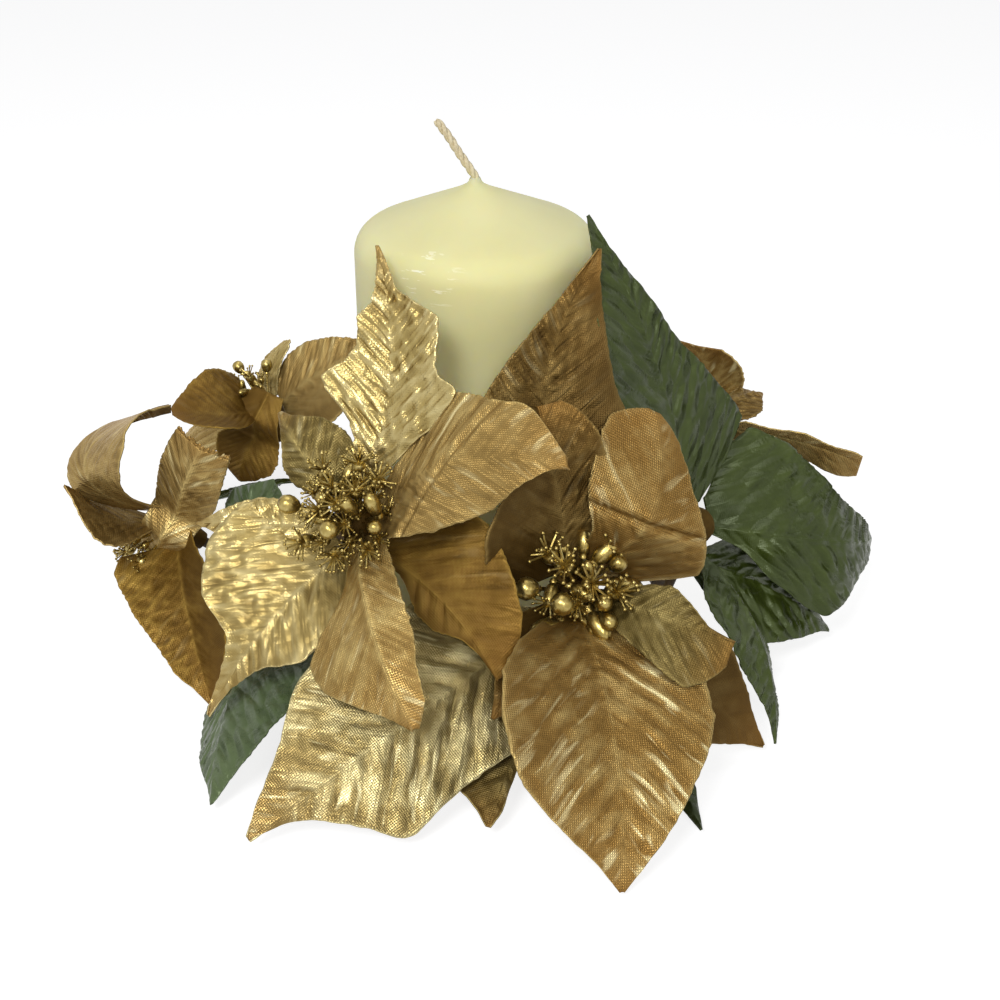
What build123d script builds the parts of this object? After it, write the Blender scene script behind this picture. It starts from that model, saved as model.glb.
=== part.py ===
from build123d import *
import os
from dataclasses import dataclass
from math import cos, radians, sin

# A candle ring: gold cloth poinsettias and green cloth leaves on wire stems, tied to a wire hoop
# that lies round a pillar candle. The origin is on the table, on the candle's axis, with +Z up.
# Bearings are degrees round the candle: 0 is the front (-Y), 90 the right (+X), 180 the back.

# Candle
candle_diameter = 75.0
candle_height = 150.0
candle_top_rise = 15.5
candle_shoulder_radius = 9.0
candle_foot_chamfer = 1.0

# Wick, and the pressed metal tab that holds its lower end
wick_diameter = 2.8
wick_upright = 1.5
wick_free_length = 21.0
wick_lean = 34.0
wick_bend_radius = 5.0
wick_clearance = 0.15
tab_diameter = 20.0
tab_thickness = 0.4
tab_collar_diameter = 5.4
tab_collar_height = 5.0
tab_floor_gap = 0.2
tab_clearance = 0.3

# Hoop: a taped wire ring of eight-sided section, and the tape turns that tie the stems to it
hoop_gap = 26.5
hoop_section_diameter = 8.0
binding_thickness = 0.6
binding_clearance = 0.3
binding_width = 6.0

# Stems: taped wires of six-sided section, each with a stretch that lies on the hoop
stem_diameter = 3.6
stem_seat_gap = 0.2
stem_lap_start = 20.0
stem_lap_end = 5.0
stem_bend_radius = 8.0

# Calyx: the moulded cup on the stem's end that bracts, leaves and pips are glued to
calyx_radius = 6.0
calyx_taper = 0.28
calyx_length = 11.0
socket_depth = 10.0
socket_clearance = 0.15
glue_gap = 0.4

# Pips: six-sided gold buds on short stalks. Each ring of them in a bunch has a count, a tilt from
# the flower's axis, and a reach from the calyx centre to the tip of the bud.
pip_diameter = 4.8
pip_length = 8.0
pip_stalk_diameter = 1.2
FULL_BUNCH = ((1, 0, 24), (5, 21, 22), (8, 43, 24))
CLOSE_BUNCH = ((1, 0, 26), (5, 17, 24), (8, 33, 25))
SMALL_BUNCH = ((1, 0, 21), (5, 24, 20))

# Cloth of bracts and leaves
cloth_thickness = 0.5

# Outlines: share of the length from the foot, and share of the half width there
OVATE = ((0, 0.10), (0.12, 0.34), (0.28, 0.80), (0.45, 1.0), (0.62, 0.88), (0.78, 0.52), (0.90, 0.20), (1, 0.03))
SHOULDERED = ((0, 0.12), (0.14, 0.50), (0.30, 0.90), (0.48, 1.0), (0.62, 0.90), (0.74, 0.50), (0.86, 0.20), (1, 0.03))
FULL_TIP = ((0, 0.10), (0.12, 0.36), (0.28, 0.80), (0.45, 1.0), (0.62, 0.95), (0.78, 0.70), (0.90, 0.36), (1, 0.04))
BROAD_FOOT = ((0, 0.10), (0.10, 0.60), (0.22, 1.0), (0.36, 0.94), (0.54, 0.64), (0.72, 0.34), (0.88, 0.12), (1, 0.03))
LEAF = ((0, 0.08), (0.12, 0.42), (0.28, 0.88), (0.42, 1.0), (0.60, 0.86), (0.78, 0.50), (0.90, 0.20), (1, 0.03))

candle_radius = candle_diameter / 2
hoop_radius = candle_radius + hoop_gap
hoop_flat = hoop_section_diameter / 2 * cos(radians(22.5))
stem_radius = stem_diameter / 2
stem_flat = stem_radius * cos(radians(30))
hoop_height = binding_thickness + binding_clearance + hoop_flat
stem_height = hoop_height + hoop_flat + stem_seat_gap + stem_flat


@dataclass
class Blade:
    """One cloth bract or leaf: where its tip is, and how it is cut, bent and folded."""

    bearing: float
    standoff: float
    height: float
    width: float
    bulge: float = 6.0
    fold: float = -8.0
    roll: float = 0.0
    sway: float = 0.0
    drop: float = 0.0
    outline: tuple = OVATE


@dataclass
class Pick:
    """One stem with what it carries: its head's place and the way the head faces."""

    bearing: float
    standoff: float
    height: float
    faces_bearing: float
    faces_up: float
    pips: tuple = ()
    pips_turn: float = 0.0
    pips_lift: float = 0.0
    bracts: tuple = ()
    leaves: tuple = ()
    under_leaves: tuple = ()


def leaf(*place, **shape):
    return Blade(*place, outline=LEAF, **shape)


PICKS = {
    "front_left": Pick(
        -27, 37, 69, -25, 34,
        pips=FULL_BUNCH,
        pips_turn=6,
        pips_lift=8,
        bracts=(
            Blade(-43, 4, 140, width=42, bulge=3, fold=12, sway=9, outline=BROAD_FOOT),
            Blade(15, 58, 98, width=48, bulge=4, fold=-26, roll=-4, sway=-8),
            Blade(-7, 89, 38, width=44, bulge=10, fold=-12),
            Blade(-54, 34, 92, width=28, bulge=5),
            Blade(4, 65, 38, width=44, fold=2, roll=-8, sway=-5, drop=7),
            Blade(-39, 84, 20, width=48, bulge=8, fold=6, drop=5, outline=SHOULDERED),
            Blade(-57, 62, 61.5, width=15, bulge=4, fold=-6, drop=2),
        ),
    ),
    "front_right": Pick(
        22, 38, 48, 17, 33,
        pips=CLOSE_BUNCH,
        bracts=(
            Blade(53, 8, 138, width=36, bulge=2, fold=8, sway=-13),
            Blade(16, 28, 104, width=19, bulge=4, fold=10),
            Blade(42, 43, 100, width=44, bulge=9, sway=8),
            Blade(38, 82, 45, width=36, bulge=6, fold=8),
            Blade(15, 116, 2, width=60, bulge=12, roll=-8, outline=FULL_TIP),
            Blade(3, 68, 27, width=16, bulge=5, fold=10),
            Blade(45, 84, 3, width=36, bulge=10, fold=6, drop=7),
            Blade(-25, 107, 5, width=58, bulge=8, fold=0, roll=12, drop=9, outline=SHOULDERED),
            Blade(2, 88, 5, width=32, bulge=0, fold=2, roll=26, drop=17),
        ),
        under_leaves=(leaf(27, 102, 3, width=24, bulge=1, roll=-14, sway=-5, drop=21),),
    ),
    "left": Pick(
        -82, 63, 38, -72, 6,
        pips=SMALL_BUNCH,
        pips_lift=-30,
        bracts=(
            Blade(-92, 69, 72, width=34, bulge=24, fold=4, roll=22),
            Blade(-69, 52, 77, width=34, bulge=4, fold=-10, roll=50),
            Blade(-52, 66, 2, width=42, bulge=3, fold=-12, roll=-50),
            Blade(-79, 95, 59, width=32, bulge=4, fold=8),
            Blade(-107, 80, 10, width=40, bulge=8, drop=5),
        ),
    ),
    "back_left": Pick(
        -125, 56, 48, -109, 40,
        pips=SMALL_BUNCH,
        pips_turn=-12,
        pips_lift=14,
        bracts=(
            Blade(-110, 78, 55, width=30, roll=-62, sway=-9),
            Blade(-117, 61, 25, width=38, bulge=4, roll=-75),
            Blade(-150, 33, 73, width=38, bulge=4, fold=8, roll=55),
            Blade(-139, 74, 62, width=34),
            Blade(-127, 115, 10, width=46, bulge=10, drop=5),
            Blade(-147, 103, 8, width=44, bulge=10, drop=5),
        ),
        under_leaves=(leaf(-106, 98, 4, width=26, drop=29),),
    ),
    "back": Pick(
        177, 43, 60, 176, 38,
        pips=FULL_BUNCH,
        bracts=(
            Blade(174, 3, 128, width=46, bulge=3, fold=10),
            Blade(-156, 59, 80, width=38),
            Blade(-161, 96, 24, width=38, bulge=10, drop=6),
            Blade(180, 108, 20, width=48, bulge=12),
            Blade(160, 99, 22, width=38, bulge=10, drop=6),
            Blade(152, 60, 80, width=38),
        ),
        under_leaves=(leaf(-179, 113, 4, width=30, bulge=4, drop=13),),
    ),
    "back_right": Pick(
        127, 63, 40, 140, 30,
        pips=SMALL_BUNCH,
        pips_turn=50,
        pips_lift=-21,
        bracts=(
            Blade(126, 94, 45, width=24, bulge=4, roll=45),
            Blade(108, 108, 32, width=34, bulge=3),
            Blade(129, 64, 70, width=34, bulge=4, fold=8),
            Blade(133, 116, 8, width=40, bulge=6, drop=6),
            Blade(155, 95, 6, width=40, bulge=6, drop=9),
        ),
        under_leaves=(leaf(111, 114, 5, width=32, bulge=4, drop=13.5),),
    ),
    "right_spray": Pick(
        67, 38, 47, 66, 30,
        leaves=(
            Blade(58, 2, 146, width=52, fold=4, roll=-22, outline=BROAD_FOOT),
            leaf(97, 100, 18, width=44, bulge=20, fold=-12, roll=10, sway=6),
            leaf(78, 82, 5, width=40, bulge=5, fold=-12, drop=12),
            leaf(47, 86, 3, width=28, bulge=8, fold=-20, drop=4),
        ),
    ),
    "left_spray": Pick(
        -54, 37, 28, -54, 30,
        leaves=(
            leaf(-33, 98, 3, width=42, fold=-12),
            leaf(-67, 39, 62, width=26, bulge=4),
        ),
    ),
}


def ring_point(bearing, radius, height):
    """A point at a bearing and a radius round the candle's axis."""
    turn = radians(bearing)
    return Vector(radius * sin(turn), -radius * cos(turn), height)


def direction(bearing, elevation):
    """A unit vector that points outwards at a bearing, raised by an elevation."""
    lift = radians(elevation)
    return ring_point(bearing, cos(lift), sin(lift))


def hub_of(pick):
    return ring_point(pick.bearing, candle_radius + pick.standoff, pick.height)


def stem_foot(pick):
    """Where a stem leaves the hoop."""
    return ring_point(pick.bearing - stem_lap_end, hoop_radius, stem_height)


def stem_rise(pick):
    """The direction in which a stem rises from the hoop to its head."""
    return (hub_of(pick) - stem_foot(pick)).normalized()


def foot_distance(reach, pick, drop):
    """How far from the stem's axis a blade starts, along its reach, so that its foot just clears its seat."""
    climb = reach.dot(stem_rise(pick))
    slant = reach.cross(stem_rise(pick)).length
    if drop > calyx_length:
        return (stem_radius + glue_gap) / slant
    if drop == 0 and climb >= 0:
        return calyx_radius + glue_gap
    return (calyx_radius - calyx_taper * drop + glue_gap) / (slant - calyx_taper * climb)


def faceted(sections):
    """A flat-faced solid through a row of polygons that lie in parallel planes."""
    faces = [Face(Wire.make_polygon(end, close=True)) for end in (sections[0], sections[-1])]
    for near, far in zip(sections, sections[1:]):
        for corner in range(len(near)):
            around = [near[corner - 1], near[corner], far[corner], far[corner - 1]]
            faces.append(Face(Wire.make_polygon(around, close=True)))
    return Solid(Shell(faces))


def blade_solid(blade, pick):
    """A blade of stiff cloth: folded along its rib, and bowed from the glued foot to the tip."""
    tip = ring_point(blade.bearing, candle_radius + blade.standoff, blade.height)
    seat = hub_of(pick) - stem_rise(pick) * blade.drop
    reach = (tip - seat).normalized()
    foot = seat + reach * foot_distance(reach, pick, blade.drop)
    faces = direction(pick.faces_bearing, pick.faces_up)
    flat_normal = (faces - reach * faces.dot(reach)).normalized()
    turn = radians(blade.roll)
    normal = flat_normal * cos(turn) + reach.cross(flat_normal) * sin(turn)
    across = reach.cross(normal)
    fold = radians(blade.fold)
    skin = normal * (cloth_thickness / 2)
    sections = []
    for along, share in blade.outline:
        bow = (normal * blade.bulge + across * blade.sway) * (4 * along * (1 - along))
        rib = foot + (tip - foot) * along + bow
        half = blade.width / 2 * share
        left = rib + across * (half * cos(fold)) + normal * (half * sin(fold))
        right = rib - across * (half * cos(fold)) + normal * (half * sin(fold))
        sections.append([left - skin, rib - skin, right - skin, right + skin, rib + skin, left + skin])
    return faceted(sections)


def turned(stations, sides):
    """A flat-faced solid of regular polygons round the Z axis: a radius and a height at each station."""
    corners = [radians(360 * step / sides) for step in range(sides)]
    sections = []
    for radius, height in stations:
        sections.append([Vector(radius * cos(turn), radius * sin(turn), height) for turn in corners])
    return faceted(sections)


def pip_solid(reach):
    """One gold bud on its stalk, standing up from the origin, out to a reach."""
    stalk = pip_stalk_diameter / 2
    bud = pip_diameter / 2
    stations = (
        (stalk, calyx_radius + glue_gap),
        (stalk, reach - pip_length),
        (bud, reach - 0.62 * pip_length),
        (bud, reach - 0.30 * pip_length),
        (0.4 * bud, reach),
    )
    return turned(stations, 6)


def pip_bunch(pick):
    """The bunch of pips of one flower, in rings round the flower's axis."""
    bunch = []
    axis = direction(pick.faces_bearing + pick.pips_turn, pick.faces_up + pick.pips_lift)
    frame = Plane(origin=hub_of(pick), z_dir=axis)
    for count, tilt, reach in pick.pips:
        for step in range(count):
            lean = Rotation(0, 0, 360 * step / count) * Rotation(tilt, 0, 0)
            bunch.append(frame.location * lean * pip_solid(reach))
    return bunch


def calyx_solid(pick):
    """The cup at the head of a stem, with the socket that the stem is glued into."""
    stations = (
        (calyx_radius - calyx_taper * calyx_length, -calyx_length),
        (calyx_radius, 0),
        (0.87 * calyx_radius, 0.50 * calyx_radius),
        (0.50 * calyx_radius, 0.87 * calyx_radius),
        (0.17 * calyx_radius, 0.98 * calyx_radius),
    )
    socket_floor = Align.CENTER, Align.CENTER, Align.MIN
    socket = Cylinder(stem_radius + socket_clearance, socket_depth, align=socket_floor)
    cup = turned(stations, 12) - Pos(0, 0, -calyx_length) * socket
    return Plane(origin=hub_of(pick), z_dir=stem_rise(pick)).location * cup


def stem_solid(pick):
    """A taped wire: along the top of the hoop, then up and out into the calyx."""
    start = ring_point(pick.bearing - stem_lap_start, hoop_radius, stem_height)
    corner = stem_foot(pick)
    top = hub_of(pick) - stem_rise(pick) * (calyx_length - socket_depth + socket_clearance)
    path = FilletPolyline(start, corner, top, radius=stem_bend_radius)
    outward = (corner - start).cross(Vector(0, 0, 1))
    section = Plane(origin=start, x_dir=outward, z_dir=corner - start) * RegularPolygon(stem_radius, 6)
    return sweep(section, path=path)


def binding_solid(pick):
    """The turn of tape that holds one stem on the hoop, halfway along its lap."""
    start = ring_point(pick.bearing - stem_lap_start, hoop_radius, stem_height)
    middle = (start + stem_foot(pick)) / 2
    lap = stem_foot(pick) - start
    section_plane = Plane(origin=middle, x_dir=lap.cross(Vector(0, 0, 1)), z_dir=lap)
    hoop_centre = section_plane.to_local_coords(
        ring_point(pick.bearing - (stem_lap_start + stem_lap_end) / 2, hoop_radius, hoop_height)
    )
    round_hoop = Pos(hoop_centre) * RegularPolygon(hoop_section_diameter / 2, 8, rotation=22.5)
    around = make_hull(round_hoop.edges() + RegularPolygon(stem_radius, 6).edges())
    outside = offset(around, binding_clearance + binding_thickness, kind=Kind.INTERSECTION)
    inside = offset(around, binding_clearance, kind=Kind.INTERSECTION)
    return extrude(section_plane * (outside - inside), binding_width / 2, both=True)


def candle_solids():
    """The wax body, the wick through it and the tab at its foot."""
    wall_top = candle_height - candle_top_rise
    profile = Polyline(
        (0, 0), (candle_radius, 0), (candle_radius, wall_top), (0, candle_height), close=True
    )
    face = make_face(profile)
    shoulder = face.vertices().sort_by(Axis.X)[-2:].sort_by(Axis.Y)[-1]
    face = fillet(shoulder, candle_shoulder_radius)
    foot = face.vertices().sort_by(Axis.Y)[:2].sort_by(Axis.X)[-1]
    face = chamfer(foot, candle_foot_chamfer)
    wax = revolve(Plane.XZ * face, Axis.Z)
    ceiling = tab_floor_gap + tab_thickness
    wick_bore = wick_diameter / 2 + wick_clearance
    collar_top = ceiling + tab_collar_height
    wax -= Cylinder(wick_bore, candle_height, align=(Align.CENTER, Align.CENTER, Align.MIN))
    wax -= Cylinder(
        tab_diameter / 2 + tab_clearance, ceiling, align=(Align.CENTER, Align.CENTER, Align.MIN)
    )
    wax -= Cylinder(
        tab_collar_diameter / 2 + tab_clearance,
        collar_top + tab_clearance,
        align=(Align.CENTER, Align.CENTER, Align.MIN),
    )
    tab = Pos(0, 0, tab_floor_gap) * Cylinder(
        tab_diameter / 2, tab_thickness, align=(Align.CENTER, Align.CENTER, Align.MIN)
    )
    tab += Pos(0, 0, ceiling) * Cylinder(
        tab_collar_diameter / 2, tab_collar_height, align=(Align.CENTER, Align.CENTER, Align.MIN)
    )
    tab -= Cylinder(wick_bore, collar_top, align=(Align.CENTER, Align.CENTER, Align.MIN))
    bend = Vector(0, 0, candle_height + wick_upright)
    lean = Vector(-sin(radians(wick_lean)), 0, cos(radians(wick_lean)))
    path = FilletPolyline(
        (0, 0, tab_floor_gap), bend, bend + lean * wick_free_length, radius=wick_bend_radius
    )
    wick = sweep(Pos(0, 0, tab_floor_gap) * Circle(wick_diameter / 2), path=path)
    return {"candle_wax": wax, "wick": wick, "wick_tab": tab}


def all_nodes():
    """Every node of the part: its name, and its solid or its group of solids."""
    hoop_section = Pos(hoop_radius, hoop_height) * RegularPolygon(hoop_section_diameter / 2, 8, rotation=22.5)
    hoop = revolve(Plane.XZ * hoop_section, Axis.Z)
    nodes = {"ring_hoop": hoop, "stem_bindings": [], "stems": [], "calyxes": [], "under_leaves": []}
    for name, pick in PICKS.items():
        nodes["stem_bindings"].append(binding_solid(pick))
        nodes["stems"].append(stem_solid(pick))
        nodes["calyxes"].append(calyx_solid(pick))
        for number, bract in enumerate(pick.bracts, start=1):
            nodes[f"{name}_bract_{number}"] = blade_solid(bract, pick)
        for number, green in enumerate(pick.leaves, start=1):
            nodes[f"{name}_leaf_{number}"] = blade_solid(green, pick)
        nodes["under_leaves"] += [blade_solid(green, pick) for green in pick.under_leaves]
        if pick.pips:
            nodes[f"{name}_pips"] = pip_bunch(pick)
    return nodes | candle_solids()


os.makedirs("parts", exist_ok=True)
for node, shape in all_nodes().items():
    group = shape if isinstance(shape, list) else [shape]
    solids = [solid for piece in group for solid in piece.solids()]
    export_step(Compound(children=solids) if len(solids) > 1 else solids[0], f"parts/{node}.step")
    print(node, len(solids), round(sum(solid.volume for solid in solids), 1))
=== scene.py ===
# %% [markdown]
# # A candle ring of gold cloth poinsettias round a pillar candle
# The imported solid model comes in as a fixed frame, in metres, with the table at z = 0 and the
# candle's axis on Z. Everything made below sits in that frame, so nothing has to be fitted by eye
# afterwards.

# %% Load the frame
import math
import bpy
import numpy as np
from mathutils import Matrix, Vector


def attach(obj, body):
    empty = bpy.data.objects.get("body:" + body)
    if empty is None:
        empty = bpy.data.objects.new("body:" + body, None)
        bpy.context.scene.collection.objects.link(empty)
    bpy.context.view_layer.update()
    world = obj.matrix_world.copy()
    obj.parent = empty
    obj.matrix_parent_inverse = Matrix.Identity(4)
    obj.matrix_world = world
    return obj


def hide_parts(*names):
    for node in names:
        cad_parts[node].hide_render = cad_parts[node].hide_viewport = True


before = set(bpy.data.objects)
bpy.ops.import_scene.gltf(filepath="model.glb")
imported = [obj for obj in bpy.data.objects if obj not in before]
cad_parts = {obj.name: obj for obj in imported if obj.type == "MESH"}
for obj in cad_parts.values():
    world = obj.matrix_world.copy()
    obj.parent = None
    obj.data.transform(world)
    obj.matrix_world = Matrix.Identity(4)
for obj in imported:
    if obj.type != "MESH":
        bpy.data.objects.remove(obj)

scene = bpy.context.scene
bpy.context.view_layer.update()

# %% [markdown]
# ## Camera and colour
# The ring was photographed from the front, a little above, with a short telephoto view. A camera half
# a metre away, tilted down by 28 degrees, gives the same ellipse on the candle's top and the same lean
# of its sides.

# %% Camera
scene.view_settings.view_transform = "Standard"
lens = bpy.data.cameras.new("photo_camera")
lens.sensor_width = 36.0
lens.lens = 57.1
lens.clip_start = 0.01
camera = bpy.data.objects.new("photo_camera", lens)
camera.location = (0.0075, -0.470, 0.2895)
camera.rotation_euler = (math.radians(62.1), 0.0, 0.0)
scene.collection.objects.link(camera)
scene.camera = camera
print("camera at", tuple(camera.location))

# %% [markdown]
# ## Light and floor
# Metallic cloth is all about what it mirrors: a soft box high on the left gives the bright streaks, a
# wide one overhead fills the tops, a weak one keeps the right side open, and a small one in front
# reaches the candle between the bracts. The gold finishes add painted highlight streaks of their own.
# The world is white for the eye and for reflections, and dimmer as a lamp, so the colours come out
# about as they are written. The floor, too, is brighter for the eye than as a lamp.

# %% Lamps
FLOWERS = Vector((0, 0, 0.06))


def soft_box(name, place, size, power):
    """A round area lamp that points at the flowers."""
    lamp = bpy.data.lights.new(name, "AREA")
    lamp.shape = "DISK"
    lamp.size = size
    lamp.energy = power
    holder = bpy.data.objects.new(name, lamp)
    holder.location = place
    holder.rotation_euler = (FLOWERS - Vector(place)).to_track_quat("-Z", "Y").to_euler()
    scene.collection.objects.link(holder)


soft_box("key_lamp", (-0.28, -0.82, 0.84), 0.36, 6.8)
soft_box("top_lamp", (0.00, 0.20, 1.20), 0.70, 2.6)
soft_box("side_lamp", (0.85, -0.70, 0.45), 0.50, 0.7)
soft_box("front_lamp", (0.14, -0.95, 0.62), 0.22, 2.3)

# %% World
def seen_by_eye(tree):
    """1 for rays from the camera, also by way of a mirror or through glass, and 0 for other light."""
    rays = tree.nodes.new("ShaderNodeLightPath")
    seen = rays.outputs["Is Camera Ray"]
    for kind in ("Is Glossy Ray", "Is Transmission Ray"):
        either = tree.nodes.new("ShaderNodeMath")
        either.operation = "MAXIMUM"
        tree.links.new(seen, either.inputs[0])
        tree.links.new(rays.outputs[kind], either.inputs[1])
        seen = either.outputs[0]
    return seen


world = bpy.data.worlds.new("studio")
scene.world = world
world.use_nodes = True
tree = world.node_tree
shade = tree.nodes.new("ShaderNodeMix")
shade.data_type = "RGBA"
shade.inputs["A"].default_value = (0.24, 0.24, 0.25, 1)
shade.inputs["B"].default_value = (1.0, 1.0, 1.0, 1)
tree.links.new(seen_by_eye(tree), shade.inputs["Factor"])
tree.links.new(shade.outputs["Result"], tree.nodes["Background"].inputs["Color"])
print("world:", world.name)

# %% Floor
FLOOR_GAP = 0.0004
bpy.ops.object.select_all(action="DESELECT")
bpy.ops.mesh.primitive_circle_add(vertices=96, radius=2.5, fill_type="NGON", location=(0, 0, -FLOOR_GAP))
floor = bpy.context.object
floor.name = "floor"
bpy.ops.object.transform_apply(location=True, rotation=True, scale=True)
paper = bpy.data.materials.new("white_paper")
paper.use_nodes = True
tree = paper.node_tree
tree.nodes.clear()
out = tree.nodes.new("ShaderNodeOutputMaterial")
plain = tree.nodes.new("ShaderNodeBsdfDiffuse")
plain.inputs["Color"].default_value = (0.82, 0.82, 0.82, 1)
soft = tree.nodes.new("ShaderNodeBsdfDiffuse")
soft.inputs["Color"].default_value = (0.40, 0.40, 0.40, 1)
lit = tree.nodes.new("ShaderNodeEmission")
lit.inputs["Strength"].default_value = 0.80
both = tree.nodes.new("ShaderNodeAddShader")
pick = tree.nodes.new("ShaderNodeMixShader")
tree.links.new(soft.outputs[0], both.inputs[0])
tree.links.new(lit.outputs[0], both.inputs[1])
tree.links.new(seen_by_eye(tree), pick.inputs[0])
tree.links.new(plain.outputs[0], pick.inputs[1])
tree.links.new(both.outputs[0], pick.inputs[2])
tree.links.new(pick.outputs[0], out.inputs["Surface"])
floor.data.materials.append(paper)
print("floor ready")

# %% [markdown]
# ## Gold cloth
# The bracts are cut from lame: a plain weave with a flat metal thread, stiffened and embossed. The
# right side is glossy, the reverse is a matter tan. All these finishes share one recipe: a metal with
# a rough, uneven gloss, a weave in the bump at its real pitch, foil wrinkles that follow the side
# veins, painted shade in the pressed-down places and painted highlight on the raised ones, painted
# highlight streaks along the side veins, and painted shade where a piece is set to less gloss. The
# helpers below keep the recipe short.

# %% Node helpers
def new_material(name):
    made = bpy.data.materials.new(name)
    made.use_nodes = True
    return made, made.node_tree, made.node_tree.nodes["Principled BSDF"]


def node(tree, kind, **values):
    made = tree.nodes.new(kind)
    for key, value in values.items():
        setattr(made, key, value)
    return made


def feed(tree, source, target):
    tree.links.new(source, target)


def calc(tree, operation, first, second):
    """A Math node; each input is a socket or a number."""
    made = node(tree, "ShaderNodeMath", operation=operation)
    for socket, value in zip(made.inputs, (first, second)):
        if isinstance(value, (int, float)):
            socket.default_value = value
        else:
            tree.links.new(value, socket)
    return made.outputs[0]


def blend_colour(tree, factor, first, second):
    """A colour mix; the factor is a socket, and each colour a socket or three numbers."""
    made = node(tree, "ShaderNodeMix", data_type="RGBA")
    for key, value in (("Factor", factor), ("A", first), ("B", second)):
        if isinstance(value, tuple):
            made.inputs[key].default_value = (*value, 1)
        else:
            tree.links.new(value, made.inputs[key])
    return made.outputs["Result"]


def map_range(tree, value, start, end, first=0.0, last=1.0, curve="LINEAR"):
    made = node(tree, "ShaderNodeMapRange", interpolation_type=curve)
    for key, number in (("From Min", start), ("From Max", end), ("To Min", first), ("To Max", last)):
        made.inputs[key].default_value = number
    tree.links.new(value, made.inputs["Value"])
    return made.outputs["Result"]


def ramp(tree, factor, stops):
    made = node(tree, "ShaderNodeValToRGB")
    while len(made.color_ramp.elements) < len(stops):
        made.color_ramp.elements.new(0.5)
    for element, (place, colour) in zip(made.color_ramp.elements, stops):
        element.position = place
        element.color = (*colour, 1)
    tree.links.new(factor, made.inputs["Fac"])
    return made.outputs["Color"]


print("helpers for values and colours ready")

# %% Pattern helpers
def noise(tree, vector, scale, detail=2.0, rough=0.5, distortion=0.0):
    made = node(tree, "ShaderNodeTexNoise")
    made.inputs["Scale"].default_value = scale
    made.inputs["Detail"].default_value = detail
    made.inputs["Roughness"].default_value = rough
    made.inputs["Distortion"].default_value = distortion
    tree.links.new(vector, made.inputs["Vector"])
    return made.outputs["Fac"]


def wave(tree, vector, pitch, direction="X", distortion=0.0, detail_scale=1.0):
    """Even bands with a pitch in the units of the vector."""
    scale_for_unit_pitch = 0.31416
    made = node(tree, "ShaderNodeTexWave", bands_direction=direction)
    made.inputs["Scale"].default_value = scale_for_unit_pitch / pitch
    made.inputs["Distortion"].default_value = distortion
    made.inputs["Detail"].default_value = 2.0
    made.inputs["Detail Scale"].default_value = detail_scale
    tree.links.new(vector, made.inputs["Vector"])
    return made.outputs["Fac"]


def cells(tree, vector, scale, smoothness):
    """Rounded cells, as the distance from each cell's middle."""
    made = node(tree, "ShaderNodeTexVoronoi", feature="SMOOTH_F1")
    made.inputs["Scale"].default_value = scale
    made.inputs["Smoothness"].default_value = smoothness
    tree.links.new(vector, made.inputs["Vector"])
    return made.outputs["Distance"]


def stretched(tree, vector, scale):
    made = node(tree, "ShaderNodeMapping")
    made.inputs["Scale"].default_value = scale
    tree.links.new(vector, made.inputs["Vector"])
    return made.outputs["Vector"]


def bump(tree, height, strength, distance, below=None):
    made = node(tree, "ShaderNodeBump")
    made.inputs["Strength"].default_value = strength
    made.inputs["Distance"].default_value = distance
    tree.links.new(height, made.inputs["Height"])
    if below is not None:
        tree.links.new(below, made.inputs["Normal"])
    return made.outputs["Normal"]


def cloth_inputs(tree):
    """The flat cloth map, the vein map, the object's own place, and the tone of a cloth piece."""
    cloth = node(tree, "ShaderNodeUVMap", uv_map="cloth").outputs["UV"]
    veins = node(tree, "ShaderNodeUVMap", uv_map="veins").outputs["UV"]
    place = node(tree, "ShaderNodeTexCoord").outputs["Object"]
    tone = node(tree, "ShaderNodeAttribute", attribute_name="tone")
    split = node(tree, "ShaderNodeSeparateColor")
    feed(tree, tone.outputs["Color"], split.inputs["Color"])
    return cloth, veins, place, split.outputs, tone.outputs["Alpha"]


print("helpers for patterns ready")

# %% Gold cloth finishes
WEAVE_PITCH = 0.062
TIP_BROWN = (0.26, 0.125, 0.025)
TIP_SHARE = 0.5
# The colour of the painted highlight streaks.
PAINTED_HIGHLIGHT_GOLD = (0.84, 0.74, 0.40)


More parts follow.
